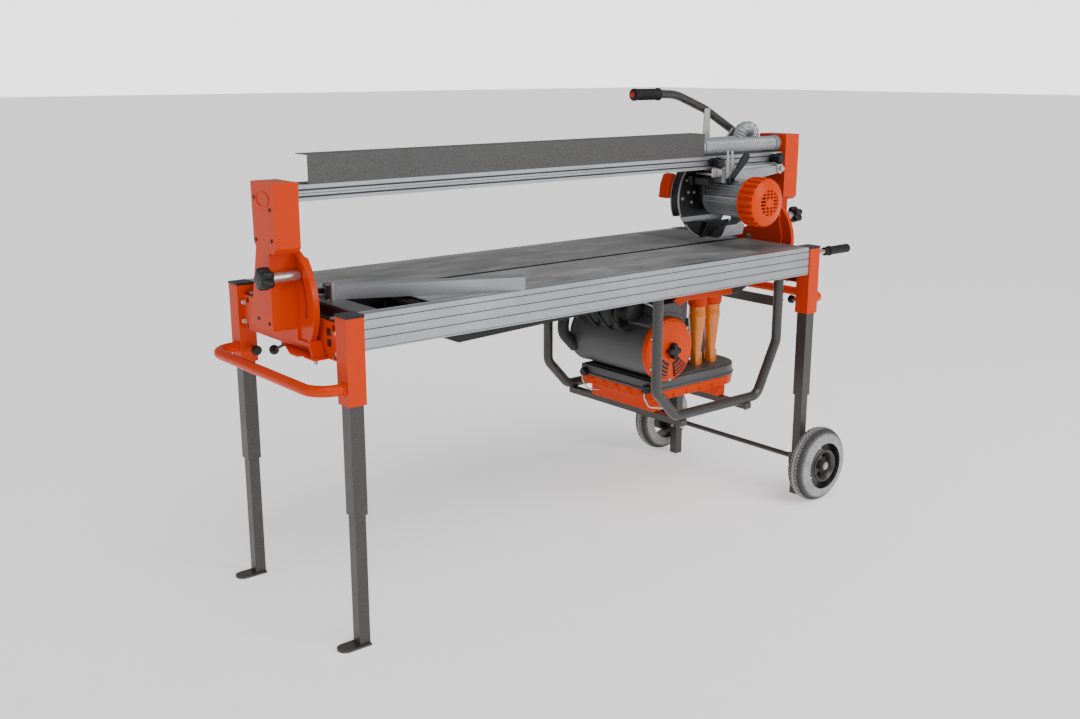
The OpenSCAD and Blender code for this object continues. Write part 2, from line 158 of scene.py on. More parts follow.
def noise(tree, source, scale, detail=4.0, rough=0.6):
    node = tree.nodes.new("ShaderNodeTexNoise")
    node.inputs["Scale"].default_value = scale
    node.inputs["Detail"].default_value = detail
    node.inputs["Roughness"].default_value = rough
    tree.links.new(source, node.inputs["Vector"])
    return node.outputs["Fac"]


def ramp(tree, source, stops):
    node = tree.nodes.new("ShaderNodeValToRGB")
    ends = node.color_ramp.elements
    while len(ends) < len(stops):
        ends.new(0.5)
    for end, (place, colour) in zip(ends, stops):
        end.position = place
        end.color = (*colour, 1)
    tree.links.new(source, node.inputs["Fac"])
    return node.outputs["Color"]


def spread(tree, source, low, high, start=0.3, stop=0.7):
    node = tree.nodes.new("ShaderNodeMapRange")
    for key, value in (("From Min", start), ("From Max", stop), ("To Min", low), ("To Max", high)):
        node.inputs[key].default_value = value
    tree.links.new(source, node.inputs["Value"])
    return node.outputs["Result"]


def mixed(tree, factor, first, second, blend="MIX"):
    node = tree.nodes.new("ShaderNodeMix")
    node.data_type = "RGBA"
    node.blend_type = blend
    for key, value in ((0, factor), (6, first), (7, second)):
        if isinstance(value, (int, float)):
            node.inputs[key].default_value = value
        elif isinstance(value, tuple):
            node.inputs[key].default_value = (*value, 1)
        else:
            tree.links.new(value, node.inputs[key])
    return node.outputs[2]


def bumped(tree, shade, height, strength, distance):
    node = tree.nodes.new("ShaderNodeBump")
    node.inputs["Strength"].default_value = strength
    node.inputs["Distance"].default_value = distance
    tree.links.new(height, node.inputs["Height"])
    tree.links.new(node.outputs["Normal"], shade.inputs["Normal"])


def scaled(colour, k):
    return tuple(min(1.0, c * k) for c in colour)


def plain(name, colour, roughness, metallic=0.0, grain=400.0, bump=0.1, vary=0.12, coat=0.0, shine=0.3):
    """Moulded, cast or painted surface: fine grain, soft patches of colour and of gloss."""
    tree, shade, place = shader(name)
    shade.inputs["Metallic"].default_value = metallic
    shade.inputs["Coat Weight"].default_value = coat
    shade.inputs["Specular IOR Level"].default_value = shine
    shade.inputs["Coat Roughness"].default_value = 0.12
    patches = noise(tree, place, 9.0)
    colours = [(0.3, scaled(colour, 1 - vary)), (0.7, scaled(colour, 1 + vary))]
    tree.links.new(ramp(tree, patches, colours), shade.inputs["Base Color"])
    tree.links.new(spread(tree, patches, roughness * 0.85, roughness * 1.15), shade.inputs["Roughness"])
    bumped(tree, shade, noise(tree, place, grain, 2.0), bump, 0.0006)


def brushed(name, colour, roughness, scratches, stretch=(3.0, 260.0, 260.0)):
    """Metal with fine lines along one direction and faint blotches."""
    tree, shade, place = shader(name)
    shade.inputs["Metallic"].default_value = 0.85
    lines = noise(tree, stretched(tree, place, stretch), 3.0, 6.0, 0.7)
    blotch = noise(tree, place, 5.0)
    base = ramp(tree, lines, [(0.3, scaled(colour, 1 - scratches)), (0.7, scaled(colour, 1 + scratches))])
    soft = ramp(tree, blotch, [(0.3, (0.8, 0.8, 0.81)), (0.7, (1, 1, 1))])
    tree.links.new(mixed(tree, 1.0, base, soft, "MULTIPLY"), shade.inputs["Base Color"])
    tree.links.new(spread(tree, lines, roughness * 0.8, roughness * 1.25), shade.inputs["Roughness"])
    bumped(tree, shade, lines, 0.12, 0.0003)


def hammered(name, colour, roughness):
    """Grey hammer paint: small rounded dimples."""
    tree, shade, place = shader(name)
    cells = tree.nodes.new("ShaderNodeTexVoronoi")
    cells.inputs["Scale"].default_value = 260
    tree.links.new(place, cells.inputs["Vector"])
    flecks = cells.outputs["Distance"]
    stops = [(0.1, scaled(colour, 1.25)), (0.6, scaled(colour, 0.8))]
    tree.links.new(ramp(tree, flecks, stops), shade.inputs["Base Color"])
    shade.inputs["Metallic"].default_value = 0.25
    tree.links.new(spread(tree, noise(tree, place, 14), roughness * 0.8, roughness * 1.2),
                   shade.inputs["Roughness"])
    bumped(tree, shade, flecks, 0.35, 0.0006)


def worn_table(name):
    """Scuffed steel table: smudges, pale drag marks along and across the cut, a darker right end."""
    tree, shade, place = shader(name)
    shade.inputs["Metallic"].default_value = 0.1
    shade.inputs["Specular IOR Level"].default_value = 0.25
    smudge = noise(tree, stretched(tree, place, (1.2, 3.0, 1.0)), 4.5, 8.0, 0.68)
    base = ramp(tree, smudge, [(0.32, (0.14, 0.14, 0.142)), (0.52, (0.25, 0.25, 0.252)),
                               (0.72, (0.42, 0.42, 0.422))])
    along = noise(tree, stretched(tree, place, (2.0, 120.0, 1.0)), 2.2, 5.0, 0.75)
    across = noise(tree, stretched(tree, place, (90.0, 5.0, 1.0)), 2.2, 5.0, 0.75)
    marks = ramp(tree, along, [(0.60, (0, 0, 0)), (0.74, (0.22, 0.22, 0.22))])
    drags = ramp(tree, across, [(0.62, (0, 0, 0)), (0.76, (0.12, 0.12, 0.12))])
    scuffed = mixed(tree, 1.0, mixed(tree, 1.0, base, marks, "ADD"), drags, "ADD")
    split = tree.nodes.new("ShaderNodeSeparateXYZ")
    tree.links.new(place, split.inputs[0])
    darker_end_from = MID_X + 0.64
    darker_end_mask = spread(tree, split.outputs["X"], 0.0, 0.75, darker_end_from, darker_end_from + 0.02)
    tree.links.new(mixed(tree, darker_end_mask, scuffed, (0.10, 0.10, 0.103)), shade.inputs["Base Color"])
    tree.links.new(spread(tree, smudge, 0.34, 0.58), shade.inputs["Roughness"])
    bumped(tree, shade, along, 0.15, 0.0004)


def clear_amber(name):
    """Translucent orange moulding of the cyclone cones."""
    tree, shade, place = shader(name)
    cloud = noise(tree, place, 12)
    tree.links.new(ramp(tree, cloud, [(0.3, (0.88, 0.20, 0.002)), (0.7, (1.0, 0.30, 0.004))]),
                   shade.inputs["Base Color"])
    tree.links.new(spread(tree, cloud, 0.2, 0.32), shade.inputs["Roughness"])
    shade.inputs["Transmission Weight"].default_value = 0.15
    shade.inputs["Subsurface Weight"].default_value = 0.2
    shade.inputs["Subsurface Radius"].default_value = (0.02, 0.008, 0.002)
    shade.inputs["Coat Weight"].default_value = 0.5
    bumped(tree, shade, noise(tree, place, 90), 0.06, 0.001)


def dusty_tyre(name):
    """Grey rubber with pale dust, and painted shade that darkens it below the tread's raised parts."""
    tree, shade, place = shader(name)
    dust = noise(tree, place, 22, 6.0, 0.7)
    base = ramp(tree, dust, [(0.3, (0.24, 0.24, 0.24)), (0.7, (0.40, 0.40, 0.40))])
    # distance from the axle: painted shade darkens the floors of the tread's grooves and the shoulders below
    # the raised tread
    offset = tree.nodes.new("ShaderNodeVectorMath")
    offset.operation = "SUBTRACT"
    offset.inputs[1].default_value = (MID_X + 0.89, 0, 0.13)
    tree.links.new(place, offset.inputs[0])
    reach = tree.nodes.new("ShaderNodeVectorMath")
    reach.operation = "LENGTH"
    tree.links.new(stretched(tree, offset.outputs["Vector"], (1, 0, 1)), reach.inputs[0])
    level = spread(tree, reach.outputs["Value"], 0.0, 1.0, 0.100, 0.130)
    painted_groove_shade = ramp(tree, level, [(0.25, (1, 1, 1)), (0.55, (0.30, 0.30, 0.30)),
                               (0.86, (0.16, 0.16, 0.16)), (0.95, (1, 1, 1))])
    tree.links.new(mixed(tree, 1.0, base, painted_groove_shade, "MULTIPLY"), shade.inputs["Base Color"])
    tree.links.new(spread(tree, dust, 0.7, 0.92), shade.inputs["Roughness"])
    bumped(tree, shade, noise(tree, place, 500, 3), 0.3, 0.0006)


def make_materials():
    plain("orange_paint", (0.66, 0.040, 0.0), 0.34, grain=260, bump=0.10, vary=0.05, coat=0.06,
          shine=0.12)
    plain("orange_plastic", (0.70, 0.050, 0.0), 0.36, grain=700, bump=0.12, vary=0.05, coat=0.04,
          shine=0.12)
    hammered("grey_paint", (0.060, 0.056, 0.054), 0.34)
    hammered("tray_paint", (0.080, 0.078, 0.077), 0.46)
    plain("black_paint", (0.016, 0.016, 0.017), 0.42, grain=500, bump=0.15)
    plain("black_plastic", (0.013, 0.013, 0.014), 0.40, grain=900, bump=0.22)
    # dark grey of the groove strips: painted shade in the grooves
    plain("groove_painted_shade", (0.05, 0.05, 0.052), 0.6, metallic=0.4, grain=200, bump=0.1)
    plain("grey_plastic", (0.085, 0.085, 0.088), 0.42, grain=900, bump=0.25)
    plain("grip_rubber", (0.012, 0.012, 0.012), 0.60, grain=700, bump=0.3)
    plain("hose_plastic", (0.42, 0.43, 0.44), 0.32, grain=300, bump=0.1, metallic=0.35)
    plain("dark_hose", (0.035, 0.035, 0.036), 0.42, grain=300, bump=0.1)
    plain("red_plastic", (0.60, 0.008, 0.008), 0.3, grain=700, bump=0.08)
    plain("cast_alloy", (0.40, 0.41, 0.42), 0.42, metallic=0.7, grain=420, bump=0.25)
    brushed("extrusion", (0.44, 0.45, 0.47), 0.40, 0.20)
    brushed("zinc", (0.60, 0.60, 0.58), 0.30, 0.12, (60.0, 60.0, 60.0))
    brushed("blade_steel", (0.36, 0.37, 0.38), 0.3, 0.15, (40.0, 40.0, 40.0))
    worn_table("table_top")
    brushed("plate_steel", (0.20, 0.20, 0.205), 0.50, 0.12)
    clear_amber("amber_plastic")
    dusty_tyre("tyre_rubber")
    plain("floor", (0.92, 0.92, 0.92), 0.95, grain=30, bump=0.0, vary=0.01)
    paper = MATERIAL["floor"].node_tree.nodes["Principled BSDF"]
    paper.inputs["Emission Color"].default_value = (1, 1, 1, 1)
    paper.inputs["Emission Strength"].default_value = 0.55


# ---------------------------------------------------------------- mesh helpers


def piece(name, bm, material, body, replaces=(), bevel=0.0, smooth=40):
    """Turns a bmesh in frame metres into a finished piece that rides on a body, or on none when body is
    empty.
    """
    bmesh.ops.recalc_face_normals(bm, faces=bm.faces)
    mesh = bpy.data.meshes.new(name)
    bm.to_mesh(mesh)
    bm.free()
    made = bpy.data.objects.new(name, mesh)
    bpy.context.scene.collection.objects.link(made)
    mesh.materials.append(MATERIAL[material])
    mesh.shade_smooth()
    mesh.set_sharp_from_angle(angle=math.radians(smooth))
    if bevel:
        add_bevel(made, bevel)
    if body:
        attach(made, body)
    if replaces:
        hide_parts(*replaces)
    return made


def add_bevel(made, width, segments=2):
    bevel = made.modifiers.new("edges", "BEVEL")
    bevel.width = width * MM
    bevel.segments = segments
    bevel.limit_method = "ANGLE"
    bevel.angle_limit = math.radians(35)
    bevel.harden_normals = False


def add_block(bm, low, high):
    low, high = at(*low), at(*high)
    matrix = Matrix.Translation((low + high) / 2) @ Matrix.Diagonal((*(high - low), 1))
    bmesh.ops.create_cube(bm, size=1, matrix=matrix)


def add_rings(bm, rings, closed=False, caps=True):
    """Skins a list of rings of points, each with the same count."""
    made = [[bm.verts.new(p) for p in ring] for ring in rings]
    count = len(made[0])
    steps = len(made) if closed else len(made) - 1
    for i in range(steps):
        a, b = made[i], made[(i + 1) % len(made)]
        for j in range(count):
            bm.faces.new((a[j], a[(j + 1) % count], b[(j + 1) % count], b[j]))
    if caps and not closed:
        bm.faces.new(list(reversed(made[0])))
        bm.faces.new(made[-1])


AXES = {"X": (Vector((1, 0, 0)), Vector((0, 1, 0)), Vector((0, 0, 1))),
        "Y": (Vector((0, 1, 0)), Vector((0, 0, 1)), Vector((1, 0, 0))),
        "Z": (Vector((0, 0, 1)), Vector((1, 0, 0)), Vector((0, 1, 0)))}


def lathe(bm, centre, axis, outline, sides=64, wave=None, caps=True):
    """Turns (distance along the axis, radius) pairs about an axis through centre."""
    along, u, v = AXES[axis] if isinstance(axis, str) else axis
    rings = []
    for d, r in outline:
        ring = []
        for k in range(sides):
            a = 2 * math.pi * k / sides
            rr = r if wave is None else wave(d, r, a)
            ring.append(at(*centre) + MM * (along * d + (u * math.cos(a) + v * math.sin(a)) * rr))
        rings.append(ring)
    add_rings(bm, rings, caps=caps)


def prism(bm, outline, axis, low, high):
    """Draws an outline out along an axis: (y, z) along X, (x, z) along Y or (x, y) along Z."""
    place = {"X": lambda p, d: at(d, p[0], p[1]), "Y": lambda p, d: at(p[0], d, p[1]),
             "Z": lambda p, d: at(p[0], p[1], d)}[axis]
    add_rings(bm, [[place(p, low) for p in outline], [place(p, high) for p in outline]])


def arc(cx, cy, r, start, stop, steps=16):
    return [(cx + r * math.cos(math.radians(start + (stop - start) * k / steps)),
             cy + r * math.sin(math.radians(start + (stop - start) * k / steps)))
            for k in range(steps + 1)]


def rounded_path(points, bend, steps=10):
    """A polyline through points (frame metres) with every corner rounded to the same radius."""
    out = [points[0]]
    for before, corner, after in zip(points, points[1:], points[2:]):
        a = (before - corner).normalized()
        b = (after - corner).normalized()
        half = a.angle(b) / 2
        reach = bend * MM / math.tan(half)
        centre = corner + (a + b).normalized() * (bend * MM / math.sin(half))
        start, stop = corner + a * reach - centre, corner + b * reach - centre
        swing = start.rotation_difference(stop)
        for k in range(steps + 1):
            turn = swing.copy()
            turn.angle = swing.angle * k / steps
            out.append(centre + turn @ start)
    out.append(points[-1])
    return out


def sweep(bm, path, radius, sides=20, caps=True):
    """A round tube along a path; radius is a number or a function of the length run so far, in mm."""
    run = 0.0
    rings = []
    side = None
    for i, p in enumerate(path):
        ahead = (path[min(i + 1, len(path) - 1)] - path[max(i - 1, 0)]).normalized()
        if side is None:
            side = ahead.orthogonal().normalized()
        side = (side - ahead * side.dot(ahead)).normalized()
        other = ahead.cross(side)
        if i:
            run += (p - path[i - 1]).length / MM
        r = (radius(run) if callable(radius) else radius) * MM
        rings.append([p + (side * math.cos(2 * math.pi * k / sides)
                           + other * math.sin(2 * math.pi * k / sides)) * r for k in range(sides)])
    add_rings(bm, rings, caps=caps)


def resampled(path, step):
    """The same path with points at most step millimetres apart, evenly along it."""
    lengths = [0.0]
    for a, b in zip(path, path[1:]):
        lengths.append(lengths[-1] + (b - a).length)
    count = max(2, round(lengths[-1] / (step * MM)))
    out = []
    j = 0
    for i in range(count + 1):
        s = lengths[-1] * i / count
        while j < len(path) - 2 and lengths[j + 1] < s:
            j += 1
        span = lengths[j + 1] - lengths[j] or 1.0
        out.append(path[j].lerp(path[j + 1], min(1.0, (s - lengths[j]) / span)))
    return out


def corrugated(bm, path, radius, pitch=11.0, depth=4.2, sides=32):
    """A corrugated hose along a path."""
    ridge = lambda s: radius - depth * (0.5 + 0.5 * math.cos(2 * math.pi * s / pitch)) ** 1.5
    sweep(bm, resampled(path, pitch / 6), ridge, sides)


def star(centre, axis, lobes, inner, outer, steps=96):
    """Ring of points of a knob with round lobes."""
    along, u, v = AXES[axis]
    ring = []
    for k in range(steps):
        a = 2 * math.pi * k / steps
        r = inner + (outer - inner) * (0.5 + 0.5 * math.cos(lobes * a)) ** 0.6
        ring.append(at(*centre) + MM * (u * math.cos(a) + v * math.sin(a)) * r)
    return ring


def star_knob(bm, centre, axis, lobes, inner, outer, thick):
    """A lobed knob whose rims are rounded, its face at centre and its body behind it."""
    along = AXES[axis][0]
    rings = []
    for depth, shrink in ((0, 0.80), (0.07, 0.93), (0.2, 1.0), (0.8, 1.0), (0.93, 0.93), (1, 0.8)):
        offset = MM * along * thick * depth
        rings.append([p + offset for p in star(centre, axis, lobes, inner * shrink, outer * shrink)])
    add_rings(bm, rings)


def hex_bolt(bm, centre, axis, radius, height):
    """Hexagon head on a washer, standing out along the axis."""
    sign = 1 if height > 0 else -1
    lathe(bm, centre, axis, [(0, radius * 1.5), (1.4 * sign, radius * 1.5)], 24)
    lathe(bm, centre, axis, [(1.4 * sign, radius * 1.08), (height - 0.8 * sign, radius * 1.08),
                             (height, radius * 0.9)], 6)


def round_bolt(bm, centre, axis, radius, height):
    lathe(bm, centre, axis, [(0, radius), (height * 0.6, radius), (height, radius * 0.72)], 20)


# ---------------------------------------------------------------- the saw


def finish_cad_nodes():
    """Materials and softened edges of the CAD nodes that stay in view."""
    looks = {
        "extrusion": ["front_apron", "rear_apron", "rail", "fence"],
        "orange_paint": ["end_beams", "leg_sockets", "pivot_brackets", "left_post", "right_post"],
        "zinc": ["frame_screws", "pivot_pins", "carriage_plate"],
        "table_top": ["front_board", "rear_boards"],
        "plate_steel": ["end_plate"],
        "black_plastic": ["socket_caps"],
        "black_paint": ["dust_chute", "blade_guard", "lower_guard"],
        "grey_paint": ["upper_legs", "cage_cross_tubes", "cage_strap", "front_left_lower_leg",
                       "rear_left_lower_leg", "right_lower_legs", "axle"],
        "tray_paint": ["hose_tray"],
        "cast_alloy": ["pivot_arm"],
    }
    edges = {"leg_sockets": 3.0, "socket_caps": 3.0, "left_post": 4.0, "right_post": 4.0,
             "upper_legs": 3.0, "front_left_lower_leg": 1.5, "rear_left_lower_leg": 1.5,
             "right_lower_legs": 1.5, "hose_tray": 0.6, "end_plate": 0.5, "front_board": 0.5,
             "rear_boards": 0.5, "cage_cross_tubes": 3.0}
    for material, nodes in looks.items():
        for node in nodes:
            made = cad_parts[node]
            made.data.materials.clear()
            made.data.materials.append(MATERIAL[material])
            add_bevel(made, edges.get(node, 1.0))


def add_grab_tubes():
    out, reach = 990, 295
    socket = cad("leg_sockets")[1].x
    bm = bmesh.new()
    for side in (-1, 1):
        path = [at(side * socket, -reach, 695), at(side * out, -reach, 695),
                at(side * out, reach, 695), at(side * socket, reach, 695)]
        sweep(bm, rounded_path(path, 62, 14), 15, 28)
        for y in (-reach, reach):
            lathe(bm, (side * (socket - 1), y, 695), "X", [(0, 19), (side * 3, 19), (side * 6, 16)], 28)
    piece("grab_tubes", bm, "orange_paint", "frame", replaces=["carry_handles"])


def add_cage():
    left, right, low, top = 210, 780, 386, TABLE_Z - 92
    for name, y in (("front", -262), ("rear", 262)):
        bm = bmesh.new()
        points = [at(left, y, top), at(left, y, 482), at(300, y, low), at(690, y, low),
                  at(right, y, 565), at(right, y, top)]
        sweep(bm, rounded_path(points, 45, 12), 16.5, 28)
        piece(f"cage_{name}", bm, "grey_paint", "frame", replaces=[f"cage_{name}_tube"])
    bm = bmesh.new()
    for x in (330, 640):
        for y in (-262, 262):
            hex_bolt(bm, (x, y, low - 37), "Z", 6, -6)
    for y in (-262, 262):
        for z in (683, 700):
            round_bolt(bm, (right + 21.5, y, z), "X", 5, 4)
    piece("cage_bolts", bm, "zinc", "frame", bevel=0.4)


def add_tyre(name, y, body):
    """Pneumatic tyre: crowned tread with zigzag ribs and shoulder blocks, moulded sidewalls."""
    outer, half = 130, 39
    turns, across = 540, 60
    outline = []
    for k in range(across + 1):
        t = math.pi * (0.06 + 0.88 * k / across)
        w = -half * math.cos(t) / math.cos(math.pi * 0.06) * (1 + 0.10 * math.sin(t) ** 2)
        lift = math.sin(t) ** 0.62
        outline.append((max(-half, min(half, w)), 52 + (outer - 52 - 0.3) * lift))

    def tread(d, r, a):
        zig = 1.6 * math.sin(a * 54)
        depth = 0.0
        if r > 112:
            if any(abs(d - g - zig) < 1.5 for g in (-20, -7, 7, 20)):
                depth = 5.0
            elif abs(d) > 21.5 and (a * 72 / (2 * math.pi)) % 1 < 0.34:
                depth = 5.5
            elif 8.6 < abs(d) < 18.4 and (a * 72 / (2 * math.pi) + 0.5) % 1 < 0.14:
                depth = 4.0
        elif 100 < r < 110 and (a * 72 / (2 * math.pi)) % 1 < 0.34:
            depth = 1.6
        elif 78 < r < 82:
            depth = -1.0
        return r - depth

    bm = bmesh.new()
    lathe(bm, (890, y, outer), "Y", outline, turns, tread, caps=False)
    lathe(bm, (890, y, outer), "Y", [(-half * 0.93, 52), (half * 0.93, 52)], turns, caps=False)
    piece(f"{name}_tyre_treaded", bm, "tyre_rubber", body, replaces=[f"{name}_tyre"], smooth=30)


def add_rim(name, y, body):
    """Pressed rim with a dished web, five windows and the axle's nut."""
    centre = (890, y, 130)
    out = -1 if y < 0 else 1
    bm = bmesh.new()
    lathe(bm, centre, "Y", [(-38, 51.5), (-38, 55), (-34, 56), (-31, 49), (-12, 44), (12, 44), (31, 49),
                            (34, 56), (38, 55), (38, 51.5), (34, 46), (12, 40.5), (-12, 40.5),
                            (-34, 46), (-38, 51.5)], 72, caps=False)
    lathe(bm, centre, "Y", [(-40, 9.2), (-40, 15), (-37, 17), (37, 17), (40, 15), (40, 9.2)], 40,
          caps=False)
    for k in range(5):
        a = 2 * math.pi * (k + 0.25) / 5
        wide = 0.32
        spoke = [(16 * math.cos(a + s * 0.75), 16 * math.sin(a + s * 0.75)) for s in (-1, 1)]
        spoke += [(41.5 * math.cos(a + s * wide), 41.5 * math.sin(a + s * wide)) for s in (1, -1)]
        prism(bm, [(890 + px, 130 + pz) for px, pz in spoke], "Y", y + out * 8, y + out * 14)
    piece(f"{name}_rim_pressed", bm, "grey_paint", body, replaces=[f"{name}_rim"])
    # black disc inside the wheel, behind the five windows: painted shade seen through them
    bm = bmesh.new()
    lathe(bm, (890, y + out * 2, 130), "Y", [(0, 41), (out * 3, 41)], 48)
    piece(f"{name}_rim_window_shade", bm, "black_paint", body)
    bm = bmesh.new()
    hex_bolt(bm, (890, y + out * 40.2, 130), "Y", 8, out * 1.9)
    for k in range(5):
        a = 2 * math.pi * (k + 0.75) / 5
        hex_bolt(bm, (890 + 28 * math.cos(a), y + out * 5, 130 + 28 * math.sin(a)), "Y", 4.5, out * 5)
    piece(f"{name}_rim_nuts", bm, "zinc", body, bevel=0.4)


def add_axle_blocks():
    bm = bmesh.new()
    for side in (-1, 1):
        add_block(bm, (866, side * 295 - 22, 108), (870, side * 295 + 22, 152))
        add_block(bm, (910, side * 295 - 22, 108), (914, side * 295 + 22, 152))
        lathe(bm, (890, side * 318, 130), "Y", [(-5, 15), (5, 15)], 24)
    piece("axle_blocks", bm, "grey_paint", "wheel_stand", bevel=1.2)
    bm = bmesh.new()
    for side in (-1, 1):
        for z in (114, 146):
            hex_bolt(bm, (866, side * 295, z), "X", 4.5, -5)
    piece("axle_block_bolts", bm, "zinc", "wheel_stand", bevel=0.4)


def add_hoses():
    x0, x1 = 560, cad("rail_hose")[1].x
    y, z, r = -97, 1211, 25
    bm = bmesh.new()
    corrugated(bm, [at(x1, y, z), at(x0, y, z)], r)
    hose = piece("rail_hose_ribbed", bm, "hose_plastic", None, replaces=["rail_hose"])
    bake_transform(hose)
    bm = bmesh.new()
    turn = [at(x0, y, z), at(522, y, z), at(522, -23, z), at(780, -23, z)]
    corrugated(bm, rounded_path(turn, 36.9, 14), r)
    piece("hose_return_ribbed", bm, "hose_plastic", "carriage", replaces=["hose_return"])
    bm = bmesh.new()
    arch = [at(780, -23, z), at(815, -23, z), at(838, -23, 1256), at(890, -23, 1262), at(896, -23, 1188)]
    corrugated(bm, rounded_path(arch, 24, 12), r)
    hose = piece("head_hose_ribbed", bm, "hose_plastic", None, replaces=["head_hose"])
    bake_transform(hose)
    bm = bmesh.new()
    lathe(bm, (x1 - 22, y, z), "X", [(0, r + 2), (22, r + 2)], 48)
    piece("hose_cuff", bm, "cast_alloy", "tilting_rail", bevel=1)
    bm = bmesh.new()
    route = [at(660, -90, 736), at(760, -90, 728), at(850, -60, 742), at(872, -40, 742)]
    corrugated(bm, rounded_path(route, 60, 8), 25)
    piece("vacuum_hose_ribbed", bm, "dark_hose", "frame", replaces=["vacuum_hose"])


def add_motor():
    x, z = 665, 1040
    bm = bmesh.new()
    fins = 28
    rib = lambda d, r, a: r - (9 if -226 < d < -74 and (a * fins / (2 * math.pi)) % 1 < 0.5 else 0)
    lathe(bm, (x, 0, z), "Y", [(-232, 50), (-232, 57), (-227, 57), (-226.9, 57), (-74.1, 57), (-74, 57),
                               (-64, 57), (-58, 50), (-58, 30), (-33, 30)], fins * 4, rib)
    piece("motor_finned", bm, "cast_alloy", "head", replaces=["motor_body"], smooth=25)
    bm = bmesh.new()
    add_block(bm, (x - 26, -200, z + 50), (x + 30, -120, z + 66))
    piece("terminal_box", bm, "cast_alloy", "head", bevel=3)
    # fan cover: skirt with louvres, chamfered face and a round grille
    bm = bmesh.new()
    vents = 22
    skirt = lambda d, r, a: r - (8 if -290 < d < -236 and (a * vents / (2 * math.pi)) % 1 < 0.45 else 0)
    lathe(bm, (x, 0, z), "Y", [(-233, 74), (-233, 80), (-235.9, 80), (-236.1, 80), (-262, 80),
                               (-282, 80), (-289, 77), (-291, 75), (-299, 60), (-303, 42),
                               (-300, 41), (-288, 41), (-286, 44), (-286, 55), (-240, 70), (-233, 74)],
          vents * 8, skirt, caps=False)
    for k in range(-3, 4):
        reach = math.sqrt(41.5 ** 2 - (k * 11) ** 2)
        add_block(bm, (x - reach, -301, z + k * 11 - 2.2), (x + reach, -296, z + k * 11 + 2.2))
    for k in (-1, 0, 1):
        reach = math.sqrt(41.5 ** 2 - (k * 17) ** 2)
        add_block(bm, (x + k * 17 - 2.4, -303, z - reach), (x + k * 17 + 2.4, -297, z + reach))
    lathe(bm, (x, 0, z), "Y", [(-303.5, 15), (-296, 15)], 40)
    piece("fan_cover_louvred", bm, "orange_plastic", "head", replaces=["fan_cover"], bevel=0.5, smooth=28)
    bm = bmesh.new()
    lathe(bm, (x, 0, z), "Y", [(-288, 42), (-240, 42)], 48)
    piece("fan_shadow", bm, "black_plastic", "head")


def add_guard_details():
    x, z, r = 665, 1040, 140
    bm = bmesh.new()
    for y in (-31, 3):
        points = [(px, pz) for px, pz in arc(x, z, r + 1.5, -26, 206, 60)]
        points += [(px, pz) for px, pz in arc(x, z, r - 3.5, 206, -26, 60)]
        prism(bm, points, "Y", y - 2.4, y + 2)
    piece("guard_rim", bm, "cast_alloy", "head", bevel=0.8)
    bm = bmesh.new()
    points = arc(x, z, r + 1.5, 218, 253, 20) + arc(x, z, r - 4, 253, 218, 20)
    prism(bm, points, "Y", -40.5, -33.6)
    piece("lower_guard_rim", bm, "cast_alloy", "lower_guard", bevel=0.8)
    bm = bmesh.new()
    for angle, reach in ((150, 118), (180, 122), (168, 96), (122, 112), (165, 70), (190, 80)):
        a = math.radians(angle)
        hex_bolt(bm, (x + reach * math.cos(a), -33.5, z + reach * math.sin(a)), "Y", 4, -5)
    piece("guard_bolts", bm, "zinc", "head", bevel=0.4)
    bm = bmesh.new()
    lathe(bm, (x, 0, z), "Y", [(-36, 46), (-48, 44), (-56, 34), (-58, 30)], 48)
    lathe(bm, (x, 0, z), "Y", [(-44, 46), (-47, 46)], 48)
    piece("guard_boss", bm, "black_paint", "head", bevel=1)
    bm = bmesh.new()
    lathe(bm, (x, 0, z), "Y", [(-58.5, 36), (-60.5, 36)], 48)
    piece("motor_gasket", bm, "orange_paint", "head")
    # orange flap behind the guard, with its round stop
    bm = bmesh.new()
    prism(bm, [(508, 1040), (556, 1040), (548, 1060), (548, 1122), (528, 1118), (514, 1086)], "Y", 5, 46)
    piece("rear_flap", bm, "orange_paint", "head", bevel=4)
    bm = bmesh.new()
    lathe(bm, (532, -2, 1056), "X", [(0, 8), (4, 10), (84, 10), (88, 8)], 28)
    piece("stop_bar", bm, "zinc", "head")


def add_blade():
    """Segmented diamond blade with its flanges and arbor."""
    x, z, y = 665, 1040, -15
    rim = lambda d, r, a: r if r < 100 else (r - 9 if (a * 18 / (2 * math.pi)) % 1 < 0.07 else r)
    bm = bmesh.new()
    lathe(bm, (x, y, z), "Y", [(-1.2, 12), (-1.2, 118), (-1.5, 118.2), (-1.5, 127), (1.5, 127),
                               (1.5, 118.2), (1.2, 118), (1.2, 12)], 540, rim, caps=False)
    piece("blade_segmented", bm, "blade_steel", "blade", replaces=["blade"], smooth=30)
    bm = bmesh.new()
    lathe(bm, (x, y, z), "Y", [(-64, 13.5), (-9, 13.5), (-9, 22), (-7, 24), (-1.3, 24), (-1.3, 11)], 48)
    lathe(bm, (x, y, z), "Y", [(1.3, 11), (1.3, 24), (7, 24), (9, 22), (9, 10)], 48)
    piece("blade_flanges", bm, "zinc", "blade")


def add_lower_guard():
    bm = bmesh.new()
    prism(bm, [(664, 904), (671, 904), (783, 950), (790, 975), (782, 990), (776, 954)], "Y", -92, -40)
    prism(bm, [(678, 906), (784, 908), (794, 944), (698, 944)], "Y", -91.5, -89.5)
    piece("deflector", bm, "extrusion", "lower_guard", bevel=1)
    bm = bmesh.new()
    prism(bm, [(622, 905), (634, 905), (662, 956), (650, 956)], "Y", -50, -37)
    piece("deflector_bracket", bm, "black_paint", "lower_guard", bevel=1)


